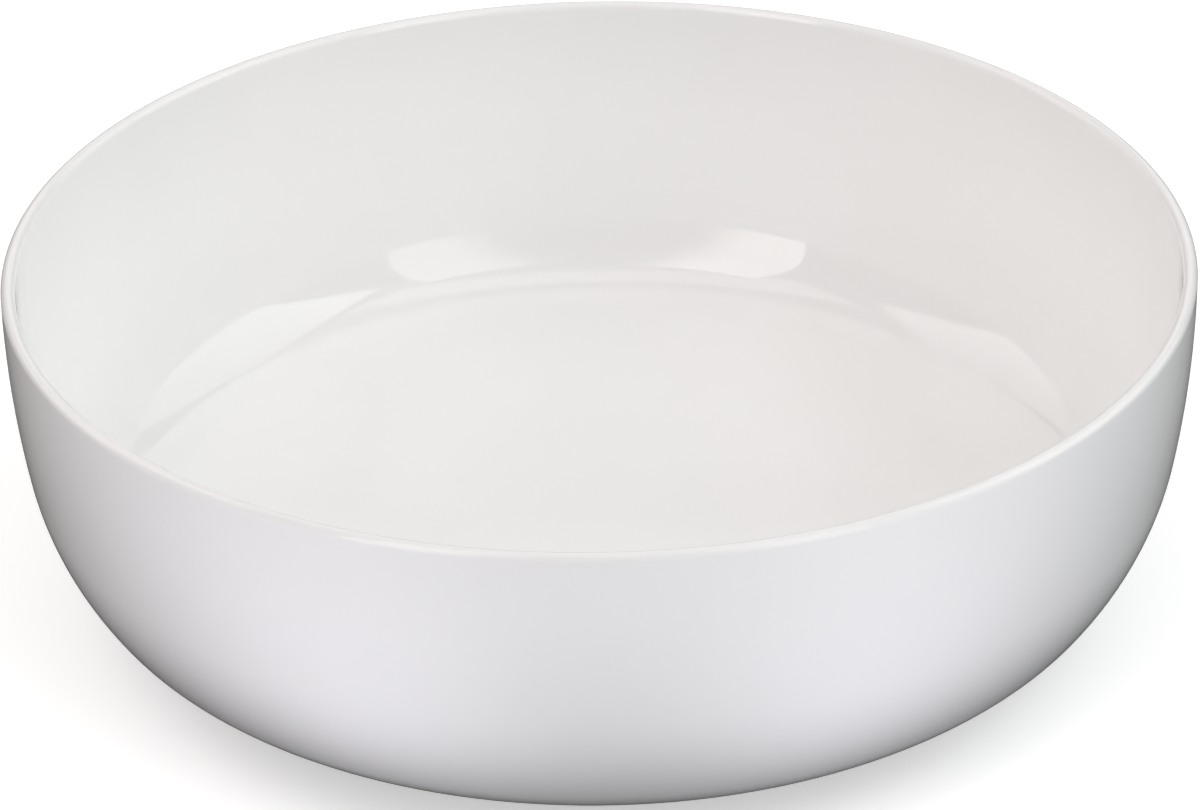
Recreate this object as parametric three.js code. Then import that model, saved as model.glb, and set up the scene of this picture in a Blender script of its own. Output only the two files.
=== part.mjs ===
// Porcelain serving bowl: a fired porcelain body with a foot ring, under three coats of white glaze.
// Millimetres, +Z up. The origin is the middle of the circle on which the foot ring stands.
//
// The bowl is a solid of revolution. Its outline is traced from the crest of the lip, once down the
// outside to the middle of the underside and once down the inside to the middle of the floor. Each
// point of the outline keeps the direction in which the surface faces, and a coat of glaze is laid on
// the body by moving those points along it.

import * as THREE from 'three';

// Driving dimensions of the finished, glazed bowl
const widestRadius = 125;
const overallHeight = 79;
const lipThickness = 3;
const glazeThickness = 0.3;
const bondGap = 0.02;

// Outside of the body: arcs that follow one another from the lip down to the underside
const upperWall = { radius: 216, slope: 81 };
const shoulder = { radius: 57, slope: 56 };
const corner = { radius: 20, slope: 10 };
const slopeAtLip = 91;

// Inside of the body: arcs of its own, with more draft, so the wall is thickest near half its height
const innerUpperWall = { radius: 184, slope: 75.4 };
const innerShoulder = { radius: 41, slope: 65.2 };
const innerCorner = { radius: 18.5, slope: 6 };
const innerSlopeAtLip = 90.4;

// Foot ring: it stands on a flat face with rounded edges, and its sides lean in by a little draft
const footRadius = 76;
const footWidth = 5;
const footDraft = 4;
const footEdge = 0.8;
const footFillet = 2;
const recessFillet = 1.2;
const recessHeight = 3.2;
const bareBand = 1.5;

const turns = 48;
const level = 90;
const degree = Math.PI / 180;
const lipRadius = lipThickness / 2 - glazeThickness;
const bodyRadius = widestRadius - glazeThickness;
const bodyHeight = overallHeight - glazeThickness;

const direction = (angle) => new THREE.Vector2(Math.cos(angle * degree), Math.sin(angle * degree));

// A facing is counted from straight outwards: 90 is up, -90 is down and 180 is towards the axis.
const outerFacing = (slope) => slope - level;
const innerFacing = (slope) => slope + level;

const lipMiddle = bodyRadius - upperWall.radius * (1 - direction(outerFacing(slopeAtLip)).x) - lipRadius;

// Starts an outline on the crest of the lip, which faces up.
const startAtCrest = () => [{ at: new THREE.Vector2(lipMiddle, bodyHeight), facing: level }];

// Carries the outline round an arc until it faces the given way. It bulges out of the body or hollows it.
function bend(outline, kind, radius, facing, steps) {
  const last = outline.at(-1);
  const reach = kind === 'bulge' ? radius : -radius;
  const centre = last.at.clone().addScaledVector(direction(last.facing), -reach);
  for (let step = 1; step <= steps; step += 1) {
    const angle = THREE.MathUtils.lerp(last.facing, facing, step / steps);
    outline.push({ at: centre.clone().addScaledVector(direction(angle), reach), facing: angle });
  }
}

// Carries the outline straight on to a height above the table, or to a distance from the axis.
function runToHeight(outline, height) {
  const { at, facing } = outline.at(-1);
  const along = direction(facing + level);
  outline.push({ at: at.clone().addScaledVector(along, (height - at.y) / along.y), facing });
}

function runToRadius(outline, radius) {
  const { at, facing } = outline.at(-1);
  const along = direction(facing + level);
  outline.push({ at: at.clone().addScaledVector(along, (radius - at.x) / along.x), facing });
}

// The crest of the lip to the middle of the floor, which dips a little below the inner corner.
function traceInside() {
  const outline = startAtCrest();
  bend(outline, 'bulge', lipRadius, innerFacing(innerSlopeAtLip), 3);
  bend(outline, 'hollow', innerUpperWall.radius, innerFacing(innerUpperWall.slope), 4);
  bend(outline, 'hollow', innerShoulder.radius, innerFacing(innerShoulder.slope), 2);
  bend(outline, 'hollow', innerCorner.radius, innerFacing(innerCorner.slope), 7);
  const dish = outline.at(-1).at.x / Math.sin(innerCorner.slope * degree);
  bend(outline, 'hollow', dish, level, 3);
  outline.at(-1).at.x = 0;
  return outline;
}

// The crest of the lip to the top of the bare band on the outer side of the foot ring.
function traceOutside() {
  const outline = startAtCrest();
  bend(outline, 'bulge', lipRadius, outerFacing(slopeAtLip), 3);
  bend(outline, 'bulge', upperWall.radius, outerFacing(level), 1);
  bend(outline, 'bulge', upperWall.radius, outerFacing(upperWall.slope), 3);
  bend(outline, 'bulge', shoulder.radius, outerFacing(shoulder.slope), 4);
  bend(outline, 'bulge', corner.radius, outerFacing(corner.slope), 5);
  const filletReach = direction(footDraft).x - direction(outerFacing(corner.slope)).x;
  runToRadius(outline, footRadius + footFillet * filletReach);
  bend(outline, 'hollow', footFillet, -footDraft, 3);
  runToHeight(outline, bareBand);
  return outline;
}

// The bare band, the flat face that the bowl stands on, and the bare band on the inner side.
function traceFoot(start) {
  const outline = [start];
  const edgeTop = footEdge * (1 - direction(level - footDraft).x);
  runToHeight(outline, edgeTop);
  bend(outline, 'bulge', footEdge, -level, 2);
  runToRadius(outline, outline.at(-1).at.x - footWidth + 2 * footEdge);
  bend(outline, 'bulge', footEdge, footDraft - 2 * level, 2);
  runToHeight(outline, bareBand);
  return outline;
}

// The inner side of the foot ring above the bare band, and the ceiling of the recess to the axis.
function traceRecess(start) {
  const outline = [start];
  const filletFoot = recessHeight - recessFillet * (1 - direction(level - footDraft).x);
  runToHeight(outline, filletFoot);
  bend(outline, 'hollow', recessFillet, -level, 2);
  runToRadius(outline, 0);
  outline.at(-1).at.x = 0;
  return outline;
}

const inside = traceInside();
const outside = traceOutside();
const foot = traceFoot(outside.at(-1));
const recess = traceRecess(foot.at(-1));

const lifted = (outline, height) => outline.map(
  ({ at, facing }) => at.clone().addScaledVector(direction(facing), height),
);
const bare = (outline) => lifted(outline, 0);
const bonded = (outline) => lifted(outline, bondGap);
const glazed = (outline) => lifted(outline, glazeThickness);

// Turns a profile about the axis. It runs anticlockwise, with the solid on its left.
function revolve(profile) {
  const geometry = new THREE.LatheGeometry(profile, turns);
  geometry.rotateX(Math.PI / 2);
  return geometry;
}

// The profile of the whole body, from the middle of the underside out and over the lip to the floor.
function bodyProfile() {
  const underside = [...bare(outside), ...bare(foot).slice(1), ...bare(recess).slice(1)];
  return [...underside.reverse(), ...bare(inside).slice(1)];
}

// A coat reaches from the bond with the body out to the glazed surface. The outside and the recess are
// traced downwards and inwards, so there the glazed outline is the one to turn round.
const insideCoat = () => [...bonded(inside).reverse(), ...glazed(inside)];
const undersideCoat = () => [...glazed(recess).reverse(), ...bonded(recess)];

function outsideCoat() {
  const profile = [...glazed(outside).reverse(), ...bonded(outside)];
  return [...profile, profile[0].clone()];
}

function piece(name, profile, material) {
  const mesh = new THREE.Mesh(revolve(profile), material);
  mesh.name = name;
  return mesh;
}

const firedPorcelain = () => new THREE.MeshStandardMaterial({
  color: 0xebe6dd,
  roughness: 0.8,
  metalness: 0,
});

const whiteGlaze = () => new THREE.MeshStandardMaterial({
  color: 0xeeebe7,
  roughness: 0.06,
  metalness: 0,
});

const group = new THREE.Group();
group.add(
  piece('porcelain_body', bodyProfile(), firedPorcelain()),
  piece('inside_glaze', insideCoat(), whiteGlaze()),
  piece('outside_glaze', outsideCoat(), whiteGlaze()),
  piece('underside_glaze', undersideCoat(), whiteGlaze()),
);

export default group;
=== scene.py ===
# A round serving bowl in white glazed porcelain, standing on a pale table in soft studio light.
# Metres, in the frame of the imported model: +Z is up along the bowl's axis, and the table is at zero.

import math

import bmesh
import bpy
from mathutils import Matrix, Vector


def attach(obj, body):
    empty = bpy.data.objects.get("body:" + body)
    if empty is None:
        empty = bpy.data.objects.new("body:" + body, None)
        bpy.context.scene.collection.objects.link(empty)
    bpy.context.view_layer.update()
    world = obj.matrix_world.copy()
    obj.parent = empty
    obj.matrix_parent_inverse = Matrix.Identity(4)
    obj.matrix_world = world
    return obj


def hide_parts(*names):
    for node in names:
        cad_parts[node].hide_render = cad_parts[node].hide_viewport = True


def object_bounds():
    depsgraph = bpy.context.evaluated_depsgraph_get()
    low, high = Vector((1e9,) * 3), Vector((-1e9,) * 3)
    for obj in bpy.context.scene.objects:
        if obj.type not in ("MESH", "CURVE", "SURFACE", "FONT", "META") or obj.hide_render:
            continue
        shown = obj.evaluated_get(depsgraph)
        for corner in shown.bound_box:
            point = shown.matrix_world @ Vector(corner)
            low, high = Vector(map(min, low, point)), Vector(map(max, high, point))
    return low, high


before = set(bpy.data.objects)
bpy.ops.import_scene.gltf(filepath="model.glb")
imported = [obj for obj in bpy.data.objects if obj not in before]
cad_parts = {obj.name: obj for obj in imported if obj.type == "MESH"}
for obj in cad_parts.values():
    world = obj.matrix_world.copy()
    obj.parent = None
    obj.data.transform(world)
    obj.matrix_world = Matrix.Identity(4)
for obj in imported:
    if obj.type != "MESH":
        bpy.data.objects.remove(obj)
frame_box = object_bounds()

MM = 0.001

# The finished bowl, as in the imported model
widest_radius = frame_box[1].x
overall_height = frame_box[1].z
glaze_thickness = 0.3 * MM
bond_gap = 0.02 * MM
lip_thickness = 3 * MM

# Arcs of the fired body, from the lip down: radius, and the slope in degrees at the lower end
outer_arcs = [(216 * MM, 81), (57 * MM, 56), (20 * MM, 10)]
outer_slope_at_lip = 91
inner_arcs = [(184 * MM, 75.4), (41 * MM, 65.2), (18.5 * MM, 6)]
inner_slope_at_lip = 90.4

# Foot ring
foot_radius = 76 * MM
foot_width = 5 * MM
foot_draft = 4
foot_edge = 0.8 * MM
foot_fillet = 2 * MM
recess_fillet = 1.2 * MM
recess_height = 3.2 * MM
bare_band = 1.5 * MM
glaze_roll = 0.6 * MM

turns = 256
LEVEL = 90

lip_radius = lip_thickness / 2 - glaze_thickness
body_radius = widest_radius - glaze_thickness
body_height = overall_height - glaze_thickness


# Outlines: a list of (place, facing), where a place is (distance from the axis, height above the table)
# and a facing is in degrees from straight outwards, so 90 is up and 180 is towards the axis.


def direction(angle):
    return Vector((math.cos(math.radians(angle)), math.sin(math.radians(angle))))


def bend(outline, radius, facing, step=1.5):
    """Carries the outline round an arc, with a point every few degrees.

    A positive radius bulges out of the body, and a negative one hollows it.
    """
    place, start = outline[-1]
    centre = place - direction(start) * radius
    steps = max(2, math.ceil(abs(facing - start) / step))
    for index in range(1, steps + 1):
        angle = start + (facing - start) * index / steps
        outline.append((centre + direction(angle) * radius, angle))


def run(outline, axis, value, steps=1):
    """Carries the outline straight on until its distance (axis 0) or height (axis 1) reaches a value."""
    place, facing = outline[-1]
    along = direction(facing + LEVEL)
    length = (value - place[axis]) / along[axis]
    for index in range(1, steps + 1):
        outline.append((place + along * length * index / steps, facing))


def start_at_crest():
    middle = body_radius - outer_arcs[0][0] * (1 - direction(outer_slope_at_lip - LEVEL).x) - lip_radius
    return [(Vector((middle, body_height)), LEVEL)]


def trace_inside():
    outline = start_at_crest()
    bend(outline, lip_radius, inner_slope_at_lip + LEVEL, 5)
    for radius, slope in inner_arcs:
        bend(outline, -radius, slope + LEVEL, 1)
    dish = outline[-1][0].x / math.sin(math.radians(inner_arcs[-1][1]))
    bend(outline, -dish, LEVEL, 0.25)
    return outline


def trace_outside():
    outline = start_at_crest()
    bend(outline, lip_radius, outer_slope_at_lip - LEVEL, 5)
    for radius, slope in outer_arcs:
        bend(outline, radius, slope - LEVEL, 1)
    lean = outer_arcs[-1][1] - LEVEL
    run(outline, 0, foot_radius + foot_fillet * (direction(foot_draft).x - direction(lean).x), 12)
    bend(outline, -foot_fillet, -foot_draft, 8)
    run(outline, 1, bare_band, 12)
    return outline


def trace_foot(start):
    outline = [start]
    run(outline, 1, foot_edge * (1 - direction(LEVEL - foot_draft).x), 4)
    bend(outline, foot_edge, -LEVEL, 10)
    run(outline, 0, outline[-1][0].x - foot_width + 2 * foot_edge, 6)
    bend(outline, foot_edge, foot_draft - 2 * LEVEL, 10)
    run(outline, 1, bare_band, 4)
    return outline


def trace_recess(start):
    outline = [start]
    run(outline, 1, recess_height - recess_fillet * (1 - direction(LEVEL - foot_draft).x), 8)
    bend(outline, -recess_fillet, -LEVEL, 8)
    run(outline, 0, 0, 16)
    return outline


inside = trace_inside()
outside = trace_outside()
foot = trace_foot(outside[-1])
recess = trace_recess(foot[-1])


def lifted(outline, height):
    return [place + direction(facing) * height for place, facing in outline]


def rolled(outline):
    """The glazed outline, whose coat thins to nothing over the last stretch of the outline."""
    left = 0
    raised = []
    previous = outline[-1][0]
    for place, facing in reversed(outline):
        left += (place - previous).length
        previous = place
        rest = 1 - min(left / glaze_roll, 1)
        height = bond_gap + (glaze_thickness - bond_gap) * math.sqrt(1 - rest * rest)
        raised.append(place + direction(facing) * height)
    return raised[::-1]


def body_profile():
    underside = lifted(outside, 0) + lifted(foot, 0)[1:] + lifted(recess, 0)[1:]
    return underside[::-1] + lifted(inside, 0)[1:]


def inside_coat():
    return lifted(inside, bond_gap)[::-1] + lifted(inside, glaze_thickness)


def outside_coat():
    return rolled(outside)[::-1] + lifted(outside, bond_gap)[:-1]


def underside_coat():
    glazed = rolled(recess[::-1])[::-1]
    return glazed[::-1] + lifted(recess, bond_gap)[1:]


def turned(name, profile, closed=False):
    """Turns a profile about the axis. It runs anticlockwise, with the solid on its left."""
    shape = bmesh.new()
    on_axis = 1e-7
    rings = []
    for place in profile:
        if place.x < on_axis:
            rings.append([shape.verts.new((0, 0, place.y))] * turns)
            continue
        ring = []
        for index in range(turns):
            around = direction(360 * index / turns)
            ring.append(shape.verts.new((place.x * around.x, place.x * around.y, place.y)))
        rings.append(ring)
    pairs = list(zip(rings, rings[1:]))
    if closed:
        pairs.append((rings[-1], rings[0]))
    for low, high in pairs:
        for index in range(turns):
            after = (index + 1) % turns
            corners = [low[index], low[after], high[after], high[index]]
            distinct = list(dict.fromkeys(corners))
            if len(distinct) > 2:
                shape.faces.new(distinct)
    mesh = bpy.data.meshes.new(name)
    shape.to_mesh(mesh)
    shape.free()
    mesh.shade_smooth()
    mesh.set_sharp_from_angle(angle=math.radians(40))
    piece = bpy.data.objects.new(name, mesh)
    bpy.context.scene.collection.objects.link(piece)
    return piece


# Materials


def new_material(name):
    material = bpy.data.materials.new(name)
    material.use_nodes = True
    return material, material.node_tree.nodes, material.node_tree.links


def noise(nodes, links, place, scale, detail=2.0):
    node = nodes.new("ShaderNodeTexNoise")
    node.inputs["Scale"].default_value = scale
    node.inputs["Detail"].default_value = detail
    links.new(place, node.inputs["Vector"])
    return node.outputs["Fac"]


def ramp(nodes, links, value, low, high, at=(0.35, 0.65)):
    node = nodes.new("ShaderNodeValToRGB")
    node.color_ramp.elements[0].position = at[0]
    node.color_ramp.elements[1].position = at[1]
    node.color_ramp.elements[0].color = (*low, 1)
    node.color_ramp.elements[1].color = (*high, 1)
    links.new(value, node.inputs["Fac"])
    return node.outputs["Color"]


def spread(nodes, links, value, low, high):
    node = nodes.new("ShaderNodeMapRange")
    node.inputs["From Min"].default_value = 0.3
    node.inputs["From Max"].default_value = 0.7
    node.inputs["To Min"].default_value = low
    node.inputs["To Max"].default_value = high
    links.new(value, node.inputs["Value"])
    return node.outputs["Result"]


def bump(nodes, links, height, distance, under=None):
    node = nodes.new("ShaderNodeBump")
    node.inputs["Strength"].default_value = 1
    node.inputs["Distance"].default_value = distance
    links.new(height, node.inputs["Height"])
    if under is not None:
        links.new(under, node.inputs["Normal"])
    return node.outputs["Normal"]


def glaze_material():
    material, nodes, links = new_material("white_glaze")
    shader = nodes["Principled BSDF"]
    place = nodes.new("ShaderNodeTexCoord").outputs["Object"]
    cloud = noise(nodes, links, place, 22)
    tint = ramp(nodes, links, cloud, (0.913, 0.911, 0.906), (0.925, 0.923, 0.919))
    links.new(tint, shader.inputs["Base Color"])
    smear = spread(nodes, links, noise(nodes, links, place, 60, 4), 0.015, 0.03)
    links.new(smear, shader.inputs["Roughness"])
    wave = bump(nodes, links, noise(nodes, links, place, 30, 0), 0.05 * MM)
    peel = bump(nodes, links, noise(nodes, links, place, 700, 1), 0.0015 * MM, wave)
    links.new(peel, shader.inputs["Normal"])
    shader.inputs["IOR"].default_value = 1.5
    return material


def porcelain_material():
    material, nodes, links = new_material("fired_porcelain")
    shader = nodes["Principled BSDF"]
    place = nodes.new("ShaderNodeTexCoord").outputs["Object"]
    cloud = noise(nodes, links, place, 90, 5)
    tint = ramp(nodes, links, cloud, (0.76, 0.73, 0.68), (0.84, 0.82, 0.78))
    links.new(tint, shader.inputs["Base Color"])
    links.new(spread(nodes, links, cloud, 0.7, 0.85), shader.inputs["Roughness"])
    grain = bump(nodes, links, noise(nodes, links, place, 2500, 2), 0.02 * MM)
    links.new(grain, shader.inputs["Normal"])
    return material


def table_material(name, tone, glow):
    material, nodes, links = new_material(name)
    shader = nodes["Principled BSDF"]
    place = nodes.new("ShaderNodeTexCoord").outputs["Object"]
    cloud = noise(nodes, links, place, 3, 3)
    dim = tone * 0.98
    links.new(ramp(nodes, links, cloud, (dim, dim, dim), (tone, tone, tone)), shader.inputs["Base Color"])
    shader.inputs["Roughness"].default_value = 0.85
    shader.inputs["Specular IOR Level"].default_value = 0.2
    shader.inputs["Emission Color"].default_value = (1, 1, 1, 1)
    shader.inputs["Emission Strength"].default_value = glow
    return material


def add_pieces():
    porcelain = porcelain_material()
    glaze = glaze_material()
    parts = [
        ("body", "porcelain_body", body_profile(), porcelain, "fired_porcelain", False),
        ("inner_coat", "inside_glaze", inside_coat(), glaze, "white_glaze", False),
        ("outer_coat", "outside_glaze", outside_coat(), glaze, "white_glaze", True),
        ("recess_coat", "underside_glaze", underside_coat(), glaze, "white_glaze", False),
    ]
    for name, node, profile, material, slot, closed in parts:
        piece = turned(name, profile, closed)
        piece.data.materials.append(material)
        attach(piece, "root")
        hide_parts(node)


add_pieces()


# Table, light and camera


def add_pale_table():
    """A level table that curves up into a wall all round, and fills the camera's view from every side.

    Only the camera sees it: it does not light the bowl and is not mirrored in it.
    """
    reach = 3
    curve = 2
    wall_top = 8
    steps = 12
    outline = [Vector((0, 0)), Vector((reach, 0))]
    for step in range(1, steps + 1):
        facing = direction(LEVEL * (step / steps - 1))
        outline.append(Vector((reach + curve * facing.x, curve * (1 + facing.y))))
    outline.append(Vector((reach + curve, wall_top)))
    table = turned("pale_table", outline)
    table.data.materials.append(table_material("pale_table", 0.9, 0.45))
    table.visible_diffuse = False
    table.visible_glossy = False
    table.visible_shadow = False


def add_dark_table():
    """A level disc just under the pale table, which the bowl mirrors but the camera does not see.

    It keeps the edges of the glazed outside dark.
    """
    radius = 6
    drop = 1 * MM
    table = turned("dark_table", [Vector((0, -drop)), Vector((radius, -drop))])
    table.data.materials.append(table_material("dark_table", 0.15, 0))
    table.visible_camera = False


def aim(thing, target):
    thing.rotation_euler = (target - thing.location).to_track_quat("-Z", "Y").to_euler()


def add_softbox(name, towards, size, glow, fade_span, colour):
    """A softbox aimed at the bowl, 2.5 m away, whose glow changes smoothly across part of its width.

    It stands towards an azimuth and an elevation. Azimuth 0 is towards the camera and 90 is towards +X.
    Its width and height are angles as seen from the bowl. The glow is given where the azimuth is least and
    greatest, and the span in which it changes is a part of the width.
    """
    distance = 2.5
    azimuth, elevation = towards
    width, height = size
    light = bpy.data.lights.new(name, "AREA")
    light.shape = "RECTANGLE"
    light.size = 2 * distance * math.tan(math.radians(width / 2))
    light.size_y = 2 * distance * math.tan(math.radians(height / 2))
    light.energy = math.pi * light.size * light.size_y
    light.color = colour
    light.use_nodes = True
    nodes, links = light.node_tree.nodes, light.node_tree.links
    across = nodes.new("ShaderNodeSeparateXYZ")
    links.new(nodes.new("ShaderNodeNewGeometry").outputs["Parametric"], across.inputs["Vector"])
    fade = nodes.new("ShaderNodeMapRange")
    fade.interpolation_type = "SMOOTHSTEP"
    fade.inputs["From Min"].default_value = fade_span[0]
    fade.inputs["From Max"].default_value = fade_span[1]
    fade.inputs["To Min"].default_value = glow[0]
    fade.inputs["To Max"].default_value = glow[1]
    links.new(across.outputs["X"], fade.inputs["Value"])
    links.new(fade.outputs["Result"], nodes["Emission"].inputs["Strength"])
    box = bpy.data.objects.new(name, light)
    turn = math.radians(azimuth)
    level, height_above = distance * direction(elevation)
    box.location = (level * math.sin(turn), -level * math.cos(turn), height_above)
    aim(box, Vector((0, 0, overall_height / 2)))
    box.visible_camera = False
    bpy.context.scene.collection.objects.link(box)


def add_card(name, middle, glow, colour):
    """A soft card lying on the table in front of the bowl, which lights the wall from below."""
    light = bpy.data.lights.new(name, "AREA")
    light.shape = "RECTANGLE"
    light.size = 0.18
    light.size_y = 0.2
    distance = 0.235
    light.energy = math.pi * glow * light.size * light.size_y
    light.color = colour
    card = bpy.data.objects.new(name, light)
    card.location = (middle, -distance, 2 * MM)
    card.rotation_euler = (math.pi, 0, 0)
    card.visible_camera = False
    card.visible_glossy = False
    bpy.context.scene.collection.objects.link(card)


def add_sky():
    """Dim light from all round, strongest in a band some 20 degrees above the horizon."""
    world = bpy.data.worlds.new("studio")
    world.use_nodes = True
    nodes, links = world.node_tree.nodes, world.node_tree.links
    height = nodes.new("ShaderNodeSeparateXYZ")
    links.new(nodes.new("ShaderNodeTexCoord").outputs["Generated"], height.inputs["Vector"])
    sky = nodes.new("ShaderNodeValToRGB")
    glows = [(0, 0.02), (0.35, 0.25), (0.75, 0.05), (1, 0.05)]
    for position, _ in glows[1:-1]:
        sky.color_ramp.elements.new(position)
    for element, (position, glow) in zip(sky.color_ramp.elements, glows):
        element.position = position
        element.color = (glow, 0.95 * glow, 0.94 * glow, 1)
    links.new(height.outputs["Z"], sky.inputs["Fac"])
    links.new(sky.outputs["Color"], nodes["Background"].inputs["Color"])
    bpy.context.scene.world = world


def add_lights():
    add_sky()
    pink = (1, 0.955, 0.945)
    cool = (0.92, 0.92, 1)
    fresh = (0.97, 1, 1)
    white = (1, 1, 0.995)
    add_softbox("front_left", (-34, 40), (26, 62), (3.15, 0), (0.45, 1), pink)
    add_softbox("front_right", (34, 37), (27, 54), (0, 2.15), (0, 0.55), fresh)
    add_softbox("far_right", (106, 36), (52, 48), (2.45, 1), (0, 1), fresh)
    add_softbox("far_left", (-122, 36), (40, 44), (0.8, 2), (0, 1), pink)
    add_softbox("low_behind", (180, 28), (40, 16), (0.7, 0.7), (0, 1), white)
    add_softbox("high_behind", (180, 54), (30, 14), (0.4, 0.4), (0, 1), white)
    add_softbox("overhead", (0, 88), (56, 20), (1.3, 1.3), (0, 1), pink)
    add_card("left_card", -0.13, 2.12, cool)
    add_card("right_card", 0.13, 2.12, cool)


def add_camera():
    """Looks down on the bowl from the front at a point on its axis, a metre away."""
    reach = 1.0
    tilt = math.radians(29.5)
    roll = math.radians(-1.07)
    target = Vector((-0.3 * MM, 0, 41 * MM))
    forward = Vector((0, math.cos(tilt), -math.sin(tilt)))
    up = Vector((0, math.sin(tilt), math.cos(tilt)))
    side = Vector((1, 0, 0))
    right = side * math.cos(roll) + up * math.sin(roll)
    above = up * math.cos(roll) - side * math.sin(roll)
    turn = Matrix((right, above, -forward)).transposed().to_4x4()
    camera = bpy.data.objects.new("camera", bpy.data.cameras.new("camera"))
    camera.data.sensor_width = 36
    camera.data.lens = 140.3
    camera.matrix_world = Matrix.Translation(target - forward * reach) @ turn
    bpy.context.scene.collection.objects.link(camera)
    bpy.context.scene.camera = camera


add_pale_table()
add_dark_table()
add_lights()
add_camera()
bpy.context.scene.view_settings.view_transform = "Standard"
